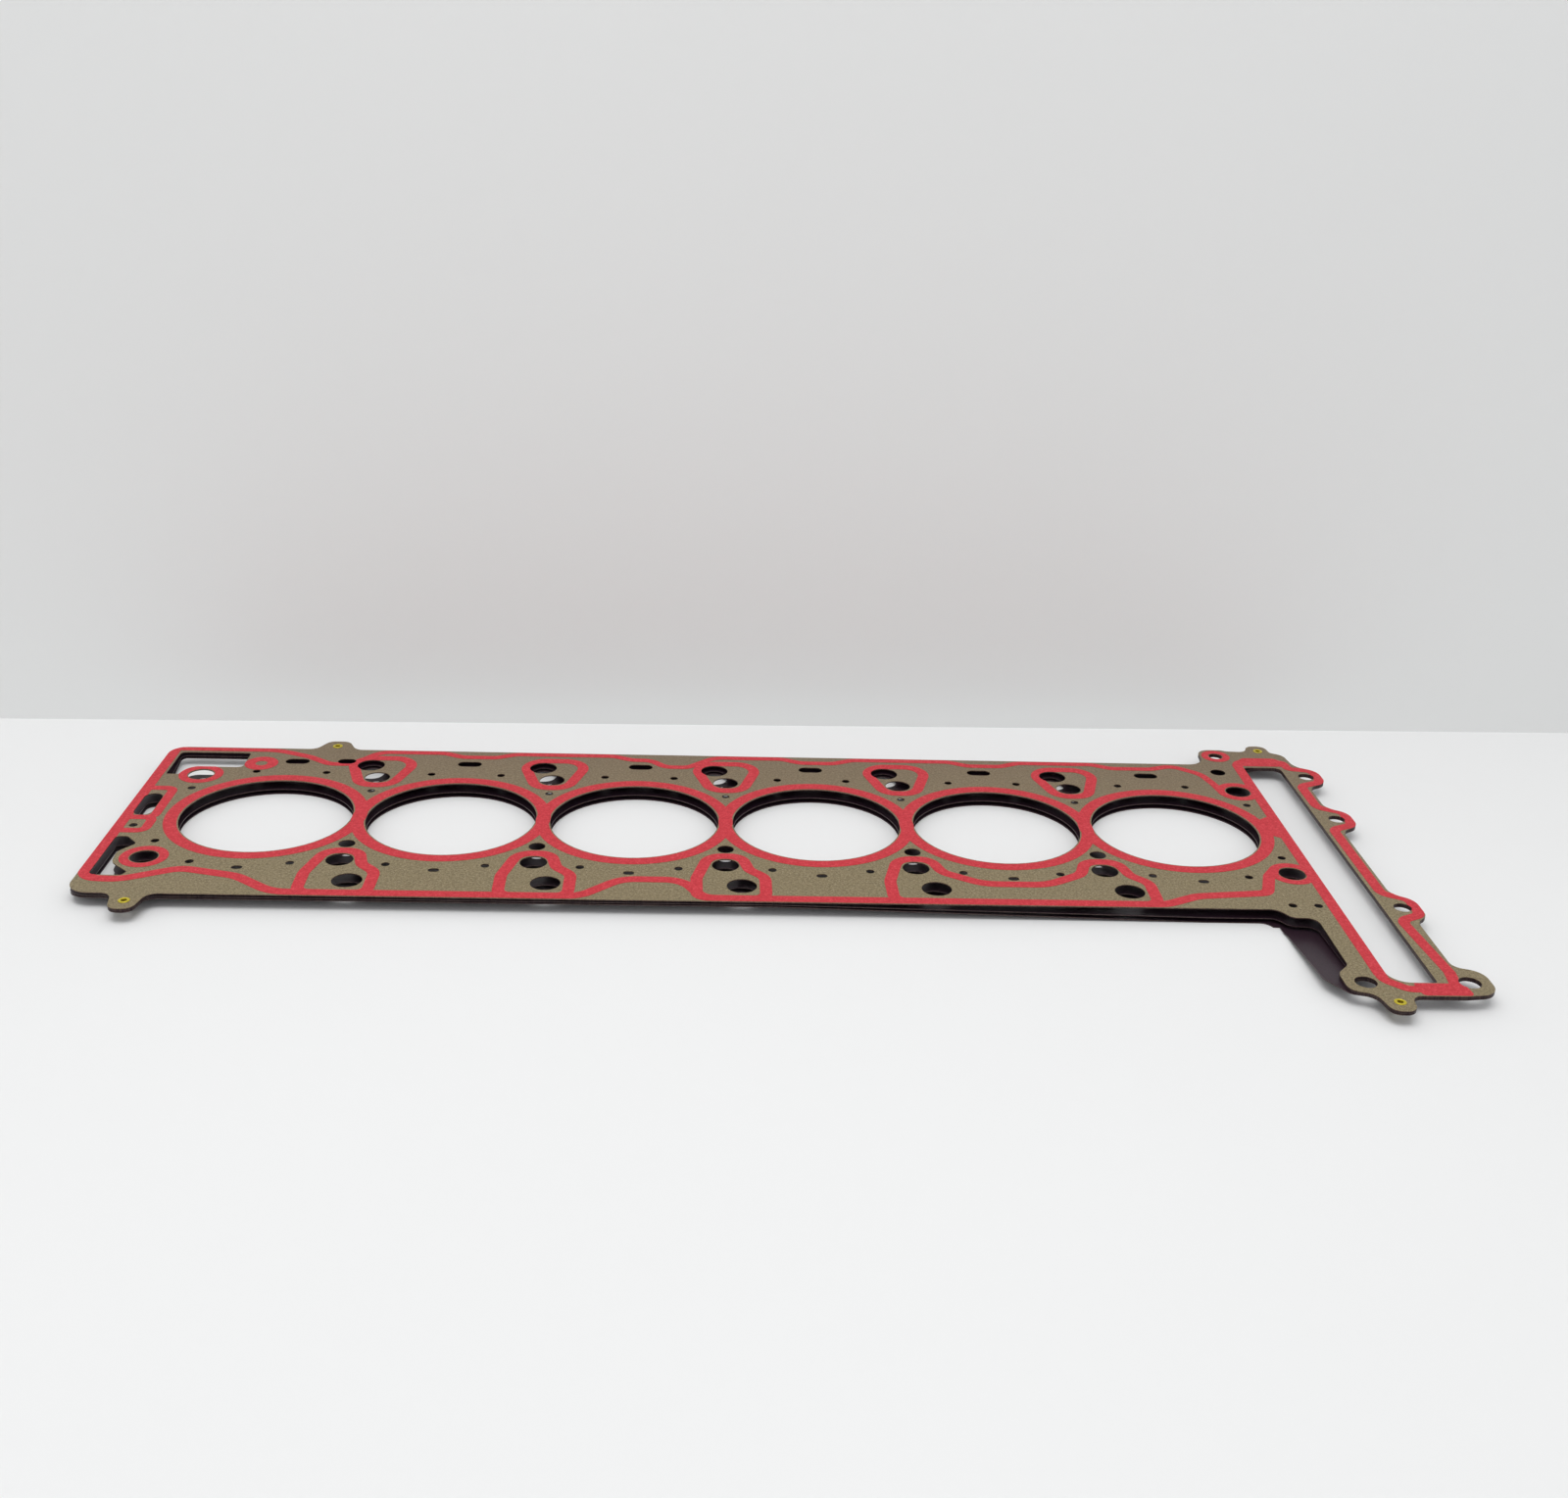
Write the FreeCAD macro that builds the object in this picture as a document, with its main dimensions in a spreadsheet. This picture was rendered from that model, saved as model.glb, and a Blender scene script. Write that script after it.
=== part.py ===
import FreeCAD, Part
import Sketcher
import math
import os

# Cylinder head gasket of an inline six with a timing chain case at one end: three spring steel sheets held
# together by four eyelets, with a printed elastomer bead on the top sheet. X runs along the row of bores,
# Y across it, Z up. The origin is the centre of the head bolt pattern, on the surface the gasket lies on.

SIZES = [
    ("bore_dia", 83.0, "combustion opening"),
    ("bore_web", 7.0, "metal between two bores"),
    ("bore_count", 6, "bores in the row"),
    ("bolt_dia", 12.8, "head bolt hole"),
    ("bolt_row", 48.0, "bolt row from the bore axis"),
    ("drain_dia", 14.0, "oil and water hole outside each bolt"),
    ("drain_front_out", 21.0, "front drains outside the bolt row"),
    ("drain_back_out", 15.5, "back drains outside the bolt row"),
    ("drain_front_shift", 7.5, "front drains beside their bolts, towards the chain"),
    ("drain_back_shift", 6.0, "back drains beside their bolts, away from the chain"),
    ("bridge_in", 17.2, "web holes inside the bolt row"),
    ("bridge_dia", 8.0, "front web hole"),
    ("jet_dia", 4.0, "small water hole"),
    ("jet_front_x", 23.0, "front water holes from the bore's centre"),
    ("jet_front_out", 4.2, "front water holes outside the bolt row"),
    ("jet_back_x", 18.0, "back water holes from the bore's centre"),
    ("jet_back_out", 5.0, "back water holes outside the bolt row"),
    ("slot_front_out", 9.5, "front short slots outside the bolt row"),
    ("slot_front_wide", 3.5, "front short slot width"),
    ("slot_front_long", 5.2, "front short slot length"),
    ("slot_back_out", 19.0, "back long slots outside the bolt row"),
    ("slot_back_wide", 6.5, "back long slot width"),
    ("slot_back_long", 12.5, "back long slot length"),
    ("end_margin", 24.5, "left edge outside the last bolt"),
    ("front_margin", 36.5, "front edge outside the bolt row"),
    ("back_margin", 36.0, "back edge outside the bolt row"),
    ("chain_gap", 12.0, "chain opening beside the last bolt"),
    ("chain_wide", 20.0, "chain opening width"),
    ("chain_end_wall", 3.0, "chain opening's back end inside the back edge"),
    ("chain_reach", 65.0, "chain opening's front end outside the front edge"),
    ("arm_wall", 14.0, "arm between its left edge and the chain opening"),
    ("arm_end_wall", 11.0, "arm beyond the chain opening's front end"),
    ("strip_wide", 8.5, "strip outside the chain opening"),
    ("tongue_wide", 14.5, "tongue of the bottom sheet beside the arm"),
    ("case_hole_dia", 8.2, "screw hole of the chain case"),
    ("ear_hole_dia", 9.6, "screw hole in the arm's ears"),
    ("boss_wall", 4.6, "metal round a screw hole of the chain case"),
    ("eyelet_bore", 2.2, "hole through an eyelet"),
    ("eyelet_dia", 3.0, "eyelet's neck"),
    ("eyelet_flange", 5.2, "eyelet's rolled flange"),
    ("eyelet_lip", 0.3, "thickness of the rolled flange"),
    ("eyelet_clear", 0.1, "sheet hole round an eyelet's neck"),
    ("top_thick", 0.5, "top sheet"),
    ("middle_thick", 0.4, "middle sheet"),
    ("bottom_thick", 0.5, "bottom sheet"),
    ("seat_gap", 0.3, "play between two sheets at an eyelet"),
    ("spread", 7.0, "top sheet's underside above the surface, relaxed"),
    ("middle_spread", 2.4, "middle sheet's underside above the surface, relaxed"),
    ("fold_front_out", 12.0, "where the front margins start to rise, outside the bolt row"),
    ("fold_back_out", 10.0, "where the back margins start to rise, outside the bolt row"),
    ("bead_high", 0.12, "printed bead's height"),
    ("bead_wide", 5.6, "printed bead's width round the bolts"),
    ("line_wide", 4.3, "printed bead's width along the edges"),
    ("ring_wide", 6.3, "printed ring round a bore"),
    ("ring_lip", 0.7, "bare steel between a bore and its ring"),
]

doc = FreeCAD.newDocument("head_gasket")
sheet = doc.addObject("Spreadsheet::Sheet", "Sizes")
for row, (alias, value, note) in enumerate(SIZES, start=1):
    sheet.set("A%d" % row, note)
    sheet.set("B%d" % row, str(value))
    sheet.setAlias("B%d" % row, alias)
doc.recompute()
size = {alias: sheet.get(alias) for alias, value, note in SIZES}

# Places that several pieces share.
pitch = size["bore_dia"] + size["bore_web"]
count = int(size["bore_count"])
half_row = pitch * (count - 1) / 2
end_bolt = pitch * count / 2
row_y = size["bolt_row"]
left = -end_bolt - size["end_margin"]
front = -row_y - size["front_margin"]
back = row_y + size["back_margin"]
chain_left = end_bolt + size["chain_gap"]
chain_right = chain_left + size["chain_wide"]
chain_back = back - size["chain_end_wall"]
chain_front = front - size["chain_reach"]
arm_left = chain_left - size["arm_wall"]
arm_front = chain_front - size["arm_end_wall"]
strip_edge = chain_right + size["strip_wide"]
arm_edge = strip_edge + 3.0
boss = size["case_hole_dia"] / 2 + size["boss_wall"]
ear = size["ear_hole_dia"] / 2 + size["boss_wall"]
tab_round = size["eyelet_flange"] / 2 + 2.65

eyelets = {
    "eyelet_front_left": (-end_bolt + 4.5, front - 7.0),
    "eyelet_back_left": (-end_bolt + 61.5, back + 4.5),
    "eyelet_back_right": (chain_right - 5.5, back + 20.5),
    "eyelet_front_right": (chain_left - 2.0, arm_front - 5.0),
}
case_holes = [
    (strip_edge + 2.5, row_y + 21.5),
    (strip_edge + 1.7, row_y - 32.5),
    (strip_edge + 1.0, -row_y - 33.0),
]
ear_holes = [(arm_left + 3.0, arm_front + 11.0), (arm_edge + 2.5, arm_front + 11.5)]
dowel_hole = (end_bolt + 0.5, back + 12.0)
dowel_dia = 7.2
margin_slot = (left + 9.0, 10.5)
margin_hole = (left + 9.2, -14.0)


def vec(x, y, z=0.0):
    return FreeCAD.Vector(x, y, z)


def rounded(corners, closed=True):
    """Lines and arcs through corners (x, y, radius). The shorter side at a corner limits its radius."""
    n = len(corners)
    cuts = []
    for i, (x, y, r) in enumerate(corners):
        here = vec(x, y)
        if not closed and i in (0, n - 1):
            cuts.append((here, here, None))
            continue
        behind = vec(*corners[i - 1][:2]) - here
        ahead = vec(*corners[(i + 1) % n][:2]) - here
        angle = behind.getAngle(ahead)
        if r <= 0 or math.pi - angle < 1e-4:
            cuts.append((here, here, None))
            continue
        reach = min(r / math.tan(angle / 2), 0.495 * min(behind.Length, ahead.Length))
        r = reach * math.tan(angle / 2)
        a = behind.normalize()
        b = ahead.normalize()
        middle = here + (a + b).normalize() * (r / math.sin(angle / 2) - r)
        cuts.append((here + a * reach, here + b * reach, middle))
    parts = []
    for i in range(n):
        start, end, middle = cuts[i]
        if middle is not None:
            parts.append(Part.Arc(start, middle, end))
        if closed or i < n - 1:
            following = cuts[(i + 1) % n][0]
            if (following - end).Length > 1e-6:
                parts.append(Part.LineSegment(end, following))
    return parts


def shifted(corners, side, closed):
    """The corners moved to the left of the path by side, with their radii kept concentric."""
    n = len(corners)
    moved = []
    for i, (x, y, r) in enumerate(corners):
        here = vec(x, y)
        steps = []
        if closed or i > 0:
            steps.append((here - vec(*corners[i - 1][:2])).normalize())
        if closed or i < n - 1:
            steps.append((vec(*corners[(i + 1) % n][:2]) - here).normalize())
        into, out = steps[0], steps[-1]
        left_in = vec(-into.y, into.x)
        left_out = vec(-out.y, out.x)
        bisector = (left_in + left_out).normalize()
        spot = here + bisector * (side / bisector.dot(left_in))
        turn = into.x * out.y - into.y * out.x
        radius = r - side if turn > 0 else r + side
        moved.append((spot.x, spot.y, max(radius, 0.0)))
    return moved


def face_of(parts):
    return Part.Face(Part.Wire([p.toShape() for p in parts]))


def stroke(corners, width, closed=False):
    """The flat band of the given width along a rounded path."""
    one = shifted(corners, width / 2, closed)
    other = shifted(corners, -width / 2, closed)
    if closed:
        faces = sorted([face_of(rounded(one)), face_of(rounded(other))], key=lambda face: face.Area)
        return faces[1].cut(faces[0])
    edges = rounded(one, False) + rounded(other, False)
    for end in (0, -1):
        edges.append(Part.LineSegment(vec(*one[end][:2]), vec(*other[end][:2])))
    return Part.Face(Part.Wire(Part.__sortEdges__([e.toShape() for e in edges])))


def disc(x, y, radius):
    return Part.Face(Part.Wire(Part.Circle(vec(x, y), vec(0, 0, 1), radius).toShape()))


def ring(x, y, inner, wide):
    """The flat ring of the given inner radius and width."""
    return disc(x, y, inner + wide).cut(disc(x, y, inner))


def tab(x, edge, tip, foot):
    """Corners of an eyelet's tab that stands out of a straight edge."""
    crown = [(x - tab_round, tip, tab_round), (x + tab_round, tip, tab_round)]
    return [(x - foot, edge, 6.0)] + crown + [(x + foot, edge, 6.0)]


def side_boss(x, y, edge, step):
    """Corners of the boss round a screw hole of the chain case, upwards along the strip's outer edge."""
    out = x + boss - 0.3
    return [(edge, y - step, 11.0), (out, y - 8.6, 9.0), (out, y + 7.8, 9.0), (strip_edge, y + 13.3, 11.0)]


def outline(tongue):
    """The sheets' outer edge, from the back left corner, anticlockwise. The bottom sheet has the tongue."""
    x, y = eyelets["eyelet_front_left"]
    corners = [(left, back, 9.0), (left, front, 19.0)]
    corners += tab(x, front, y - tab_round - 2.8, 8.0)
    if tongue:
        tongue_left = arm_left - size["tongue_wide"]
        corners += [
            (tongue_left - 5.0, front, 6.0),
            (tongue_left, front - 12.0, 10.0),
            (tongue_left + 1.5, arm_front + 16.0, 11.0),
            (tongue_left + 9.0, arm_front + 4.0, 5.0),
        ]
    else:
        corners += [
            (arm_left - 16.0, front, 6.0),
            (arm_left - 11.0, front - 8.0, 5.0),
            (arm_left, front - 8.0, 7.0),
            (arm_left, ear_holes[0][1] + ear + 5.0, 5.0),
            (ear_holes[0][0] - ear, ear_holes[0][1] + ear - 2.0, 7.0),
            (ear_holes[0][0] - ear, ear_holes[0][1] - ear + 2.0, 7.0),
        ]
    x, y = eyelets["eyelet_front_right"]
    corners += [
        (x - 8.0, arm_front + 1.5, 7.0),
        (x - tab_round, y - tab_round - 2.3, tab_round),
        (x + tab_round, y - tab_round - 2.3, tab_round),
        (x + 6.8, arm_front, 5.0),
        (arm_edge - 3.0, arm_front, 4.0),
        (ear_holes[1][0] + ear, ear_holes[1][1] - ear, 8.5),
        (ear_holes[1][0] + ear, ear_holes[1][1] + ear, 8.5),
        (arm_edge, ear_holes[1][1] + ear + 4.0, 6.0),
    ]
    corners += side_boss(*case_holes[2], arm_edge, 13.5)
    corners += side_boss(*case_holes[1], strip_edge, 14.0)
    corners += side_boss(*case_holes[0], strip_edge, 13.5)
    x, y = eyelets["eyelet_back_right"]
    corners += [
        (strip_edge - 1.5, y - 5.5, 8.0),
        (x + 6.0, y - 2.0, 3.0),
        (x + tab_round, y + tab_round + 1.8, tab_round),
        (x - tab_round, y + tab_round + 1.8, tab_round),
        (x - 7.0, y - 1.5, 5.0),
    ]
    x, y = dowel_hole
    corners += [(x + 8.0, y + 7.5, 5.0), (x + 5.0, y + 9.0, 5.0)]
    corners += [(x - 8.5, y + 9.0, 8.0), (x - 9.5, back, 9.0)]
    x, y = eyelets["eyelet_back_left"]
    corners += tab(x, back, y + tab_round + 1.3, 10.5)[::-1]
    return corners


def water_opening():
    """The angled opening in the back left corner, round the end bolt's boss."""
    near, far = left + 6.5, left + 43.0
    return [
        (near, back - 7.0, 3.0),
        (near, row_y, 1.0),
        (near + 6.5, row_y, 1.0),
        (near + 9.5, row_y + 10.0, 9.0),
        (far, row_y + 10.0, 3.0),
        (far, back - 7.0, 2.0),
    ]


def oil_opening():
    """The opening in the front left corner, with the waist at the end bolt's boss."""
    near, low, bolt = left + 5.0, front + 17.5, -end_bolt
    return [
        (near, -row_y + 21.5, 2.4),
        (near, low, 3.0),
        (bolt - 4.5, low, 1.0),
        (bolt - 3.0, low + 3.5, 1.2),
        (bolt - 13.0, -row_y - 6.0, 8.0),
        (bolt - 14.0, -row_y + 5.0, 8.0),
        (bolt - 7.5, -row_y + 14.0, 2.5),
        (bolt - 14.0, -row_y + 21.5, 2.4),
    ]


def chain_opening():
    return [
        (chain_left, chain_back, 2.5),
        (chain_left, chain_front, 9.0),
        (chain_right, chain_front, 1.5),
        (chain_right, chain_back, 4.0),
    ]


def new_sketch(body, name, role="XY_Plane"):
    sketch = body.newObject("Sketcher::SketchObject", name)
    plane = [f for f in body.Origin.OriginFeatures if f.Role == role][0]
    sketch.AttachmentSupport = [(plane, "")]
    sketch.MapMode = "FlatFace"
    return sketch


def dimension(sketch, name, rule, expression):
    """Adds a dimension to the sketch and ties it to the sheet."""
    index = sketch.addConstraint(rule)
    sketch.renameConstraint(index, name)
    sketch.setExpression("Constraints." + name, expression)


def circle(sketch, name, across, x, y):
    """A circle whose diameter and centre follow the sheet; x and y are each an expression and its value."""
    geo = sketch.addGeometry(Part.Circle(vec(x[1], y[1]), vec(0, 0, 1), size[across] / 2), False)
    dimension(sketch, name + "_x", Sketcher.Constraint("DistanceX", -1, 1, geo, 3, x[1]), x[0])
    dimension(sketch, name + "_y", Sketcher.Constraint("DistanceY", -1, 1, geo, 3, y[1]), y[0])
    dimension(sketch, name + "_dia", Sketcher.Constraint("Diameter", geo, size[across]), "Sizes." + across)


def plain_hole(sketch, place, dia):
    sketch.addGeometry(Part.Circle(vec(*place), vec(0, 0, 1), dia / 2), False)


def slot(sketch, x, y, long, wide, upright=False):
    """A slot with round ends, about a centre."""
    reach = (long - wide) / 2
    r = wide / 2
    turn = 0.0 if upright else -math.pi / 2
    along = vec(0, reach) if upright else vec(reach, 0)
    aside = vec(r, 0) if upright else vec(0, r)
    for end, start in ((vec(x, y) - along, math.pi + turn), (vec(x, y) + along, turn)):
        sketch.addGeometry(Part.ArcOfCircle(Part.Circle(end, vec(0, 0, 1), r), start, start + math.pi), False)
    for wall in (aside, -aside):
        sketch.addGeometry(Part.LineSegment(vec(x, y) - along + wall, vec(x, y) + along + wall), False)


def cut_through(body, sketch, name, copies=None):
    """Cuts the sketch through the sheet and repeats it along the row of bores."""
    pocket = body.newObject("PartDesign::Pocket", name + "_cut")
    pocket.Profile = sketch
    pocket.Type = "ThroughAll"
    pocket.Midplane = True
    pocket.Refine = False
    body.Tip = pocket
    if copies:
        row = body.newObject("PartDesign::LinearPattern", name + "_row")
        row.Originals = [pocket]
        row.Direction = (sketch, ["H_Axis"])
        row.setExpression("Length", "(Sizes.bore_dia + Sizes.bore_web) * (%s - 1)" % copies)
        row.setExpression("Occurrences", copies)
        row.Refine = False
        body.Tip = row


# Where the rows start, as pairs of an expression and its value: the first bore, bolt and inner bolt.
PITCH = "(Sizes.bore_dia + Sizes.bore_web)"
FIRST_BORE = ("-%s * (Sizes.bore_count - 1) / 2" % PITCH, -half_row)
FIRST_BOLT = ("-%s * Sizes.bore_count / 2" % PITCH, -end_bolt)
INNER_BOLT = ("-%s * (Sizes.bore_count / 2 - 1)" % PITCH, -end_bolt + pitch)


def beside(start, sign, alias):
    """A place in x that lies beside the start of a row, by a size."""
    return (start[0] + " %s Sizes.%s" % ("+" if sign > 0 else "-", alias), start[1] + sign * size[alias])


def outside(sign, alias=None, inwards=1):
    """A place in y outside the front (-1) or back (1) bolt row by a size, or inside it."""
    if alias is None:
        return ("%d * Sizes.bolt_row" % sign, sign * row_y)
    rule = "%d * (Sizes.bolt_row + %d * Sizes.%s)" % (sign, inwards, alias)
    return (rule, sign * (row_y + inwards * size[alias]))


def plate(name, high, tongue, small_holes):
    """A sheet's plan as a body: outline, openings and the holes that pass through it."""
    body = doc.addObject("PartDesign::Body", name)
    sketch = new_sketch(body, name + "_outline")
    for corners in (outline(tongue), water_opening(), oil_opening(), chain_opening()):
        sketch.addGeometry(rounded(corners), False)
    pad = body.newObject("PartDesign::Pad", name + "_pad")
    pad.Profile = sketch
    pad.setExpression("Length", high)
    body.Tip = pad
    doc.recompute()

    sketch = new_sketch(body, name + "_bore")
    circle(sketch, "bore", "bore_dia", FIRST_BORE, ("0", 0.0))
    cut_through(body, sketch, name + "_bore", "Sizes.bore_count")

    sketch = new_sketch(body, name + "_bolt")
    circle(sketch, "front", "bolt_dia", FIRST_BOLT, outside(-1))
    circle(sketch, "back", "bolt_dia", FIRST_BOLT, outside(1))
    cut_through(body, sketch, name + "_bolt", "(Sizes.bore_count + 1)")

    sketch = new_sketch(body, name + "_drain")
    x = beside(INNER_BOLT, 1, "drain_front_shift")
    circle(sketch, "front", "drain_dia", x, outside(-1, "drain_front_out"))
    x = beside(INNER_BOLT, -1, "drain_back_shift")
    circle(sketch, "back", "drain_dia", x, outside(1, "drain_back_out"))
    circle(sketch, "bridge", "bridge_dia", INNER_BOLT, outside(-1, "bridge_in", -1))
    cut_through(body, sketch, name + "_drain", "(Sizes.bore_count - 1)")

    if small_holes:
        sketch = new_sketch(body, name + "_jet")
        for label, sign in (("left", -1), ("right", 1)):
            x = beside(FIRST_BORE, sign, "jet_front_x")
            circle(sketch, "front_" + label, "jet_dia", x, outside(-1, "jet_front_out"))
            x = beside(FIRST_BORE, sign, "jet_back_x")
            circle(sketch, "back_" + label, "jet_dia", x, outside(1, "jet_back_out"))
        y = -row_y - size["slot_front_out"]
        slot(sketch, -half_row, y, size["slot_front_long"], size["slot_front_wide"])
        y = row_y + size["slot_back_out"]
        slot(sketch, -half_row, y, size["slot_back_long"], size["slot_back_wide"])
        cut_through(body, sketch, name + "_jet", "Sizes.bore_count")

        sketch = new_sketch(body, name + "_web")
        circle(sketch, "web", "jet_dia", FIRST_BOLT, outside(1, "bridge_in", -1))
        cut_through(body, sketch, name + "_web", "(Sizes.bore_count + 1)")

    sketch = new_sketch(body, name + "_single")
    for place in case_holes:
        plain_hole(sketch, place, size["case_hole_dia"])
    for place in ear_holes:
        plain_hole(sketch, place, size["ear_hole_dia"])
    for place in eyelets.values():
        plain_hole(sketch, place, size["eyelet_dia"] + 2 * size["eyelet_clear"])
    plain_hole(sketch, dowel_hole, dowel_dia)
    plain_hole(sketch, (end_bolt - 4.0, row_y + size["drain_back_out"] + 10.0), 2 * size["jet_dia"])
    slot(sketch, *margin_slot, 25.5, 9.0, upright=True)
    if small_holes:
        for x in (-end_bolt, end_bolt):
            plain_hole(sketch, (x, -row_y + size["bridge_in"]), size["jet_dia"])
        for x in (arm_left - 7.5, arm_left + 4.5):
            plain_hole(sketch, (x, front + 4.0), size["jet_dia"])
        plain_hole(sketch, margin_hole, size["jet_dia"])
        slot(sketch, -end_bolt + 70.5, row_y + size["slot_back_out"] + 1.0, 9.5, size["slot_back_wide"])
    cut_through(body, sketch, name + "_single")
    return body


def folded(low, high, thick):
    """A relaxed lower sheet as flat panels: a level middle, with margins and a strip that rise to the
    eyelets. low is the middle's underside, high is the underside at the eyelets."""
    fold_front, fold_back = -row_y - size["fold_front_out"], row_y + size["fold_back_out"]
    rise_front, rise_back = front - 4.0, back + 2.0
    far_left, far_right = left - 10.0, arm_edge + 20.0
    far_front, far_back = arm_front - 20.0, back + 35.0
    fade_from, fade_to = pitch / 4, arm_left - 15.0
    arm_tip = chain_front + 1.0
    turn, hinge = end_bolt / 2, arm_left + 3.4
    strip, strip_back = chain_left + 12.0, chain_back - 3.0
    skew = (hinge - turn) * 0.078
    level = [
        (far_left, fold_front, low),
        (far_left, fold_back, low),
        (turn, fold_back, low),
        (hinge, fold_back + skew, low),
        (strip, strip_back, low),
        (strip, rise_front, low),
        (fade_to, rise_front, low),
        (fade_from, fold_front, low),
    ]
    front_rise = [
        (far_left, fold_front, low),
        (fade_from, fold_front, low),
        (fade_from, rise_front, high),
        (far_left, rise_front, high),
    ]
    front_fade = [(fade_from, fold_front, low), (fade_to, rise_front, low), (fade_from, rise_front, high)]
    front_edge = [
        (far_left, rise_front, high),
        (fade_from, rise_front, high),
        (fade_from, far_front, high),
        (far_left, far_front, high),
    ]
    back_rise = [
        (far_left, fold_back, low),
        (turn, fold_back, low),
        (turn, rise_back, high),
        (far_left, rise_back, high),
    ]
    back_edge = [
        (far_left, rise_back, high),
        (turn, rise_back, high),
        (turn, far_back, high),
        (far_left, far_back, high),
    ]
    skew_rise = [
        (turn, fold_back, low),
        (hinge, fold_back + skew, low),
        (hinge, rise_back + skew, high),
        (turn, rise_back, high),
    ]
    skew_edge = [
        (turn, rise_back, high),
        (hinge, rise_back + skew, high),
        (hinge, far_back, high),
        (turn, far_back, high),
    ]
    corner_rise = [(hinge, fold_back + skew, low), (strip, strip_back, high), (hinge, rise_back + skew, high)]
    corner_edge = [
        (hinge, rise_back + skew, high),
        (strip, strip_back, high),
        (strip, far_back, high),
        (hinge, far_back, high),
    ]
    arm_rise = [
        (fade_to, rise_front, low),
        (strip, rise_front, low),
        (strip, arm_tip, high),
        (fade_to, arm_tip, high),
    ]
    arm_edge_flat = [
        (fade_to, arm_tip, high),
        (strip, arm_tip, high),
        (strip, far_front, high),
        (fade_to, far_front, high),
    ]
    strip_flat = [
        (strip, far_front, high),
        (far_right, far_front, high),
        (far_right, far_back, high),
        (strip, far_back, high),
    ]
    panels = []
    row_panels = [level, front_rise, front_fade, front_edge, back_rise, back_edge, skew_rise, skew_edge]
    for corners in row_panels + [corner_rise, corner_edge, arm_rise, arm_edge_flat, strip_flat]:
        points = [vec(*c) for c in corners]
        panels.append(Part.Face(Part.makePolygon(points + points[:1])).extrude(vec(0, 0, thick)))
    return panels[0].multiFuse(panels[1:]).removeSplitter()


def bent_sheet(name, low, high, thick, tongue):
    """A lower sheet: its plan cut out of the folded plate."""
    press = doc.addObject("Part::Feature", name + "_folds")
    press.Shape = folded(low, high, thick)
    bent = doc.addObject("Part::Common", name)
    bent.Base = plate(name + "_plan", "Sizes.spread", tongue, False)
    bent.Tool = press
    return bent


def back_loop(x):
    """Closed band round a back bolt and its drain."""
    high = row_y + size["drain_back_out"] + 9.5
    nose = [(x - 7.5, row_y - 9.8, 9.0), (x + 8.5, row_y - 9.8, 9.0)]
    return stroke(nose + [(x + 18.0, high, 10.0), (x - 18.0, high, 10.0)], size["bead_wide"], True)


def bell_left(x, foot):
    """Left flank and crown of the bell-shaped band round a front bolt and its drain."""
    crown = [(x - 8.0, -row_y + 9.6, 8.5), (x + 7.5, -row_y + 9.6, 8.5)]
    return [(x - 13.0, foot, 5.5), (x - 13.5, -row_y - 14.0, 15.0)] + crown


def bell_right(x, foot):
    return [(x + 11.0, -row_y - 4.5, 9.0), (x + 18.5, -row_y - 12.0, 9.0), (x + 18.6, foot, 5.5)]


def double_bell(x, foot):
    """The last two bells, joined by a band that sags under the bore between them."""
    sag = -row_y - 15.4
    nest = [(x + 12.0, -row_y - 4.0, 10.0), (x + pitch / 3, sag, 22.0), (x + pitch * 2 / 3, sag, 22.0)]
    nest.append((x + pitch - 12.0, -row_y - 4.0, 10.0))
    crown = [(x + pitch - 8.0, -row_y + 9.6, 8.5), (x + pitch + 7.5, -row_y + 9.6, 8.5)]
    return bell_left(x, foot) + nest + crown + bell_right(x + pitch, foot)


def bolt_x(number):
    return -end_bolt + number * pitch


def front_line(side, foot, top):
    """Band along the left and front edges: it climbs between some bells and ends at the last bolt."""
    return [
        (side, top, 9.0),
        (side, foot + 11.0, 9.0),
        (bolt_x(0) - 4.0, foot + 10.0, 20.0),
        (bolt_x(0) + 20.0, foot + 22.0, 14.0),
        (bolt_x(1) - 43.0, foot + 15.0, 20.0),
        (bolt_x(1) - 24.0, foot, 20.0),
        (bolt_x(2) + 24.0, foot, 14.0),
        (bolt_x(2) + 42.0, foot + 17.5, 16.0),
        (bolt_x(3) - 20.0, foot + 17.5, 14.0),
        (bolt_x(3) - 10.0, foot, 9.0),
        (bolt_x(5) + 22.0, foot, 16.0),
        (bolt_x(5) + 38.0, foot + 8.5, 16.0),
        (bolt_x(6) - 17.5, foot + 12.8, 5.5),
        (bolt_x(6) - 12.0, -row_y - 3.0, 6.0),
        (bolt_x(6) - 6.5, -row_y + 5.0, 3.0),
    ]


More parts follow.
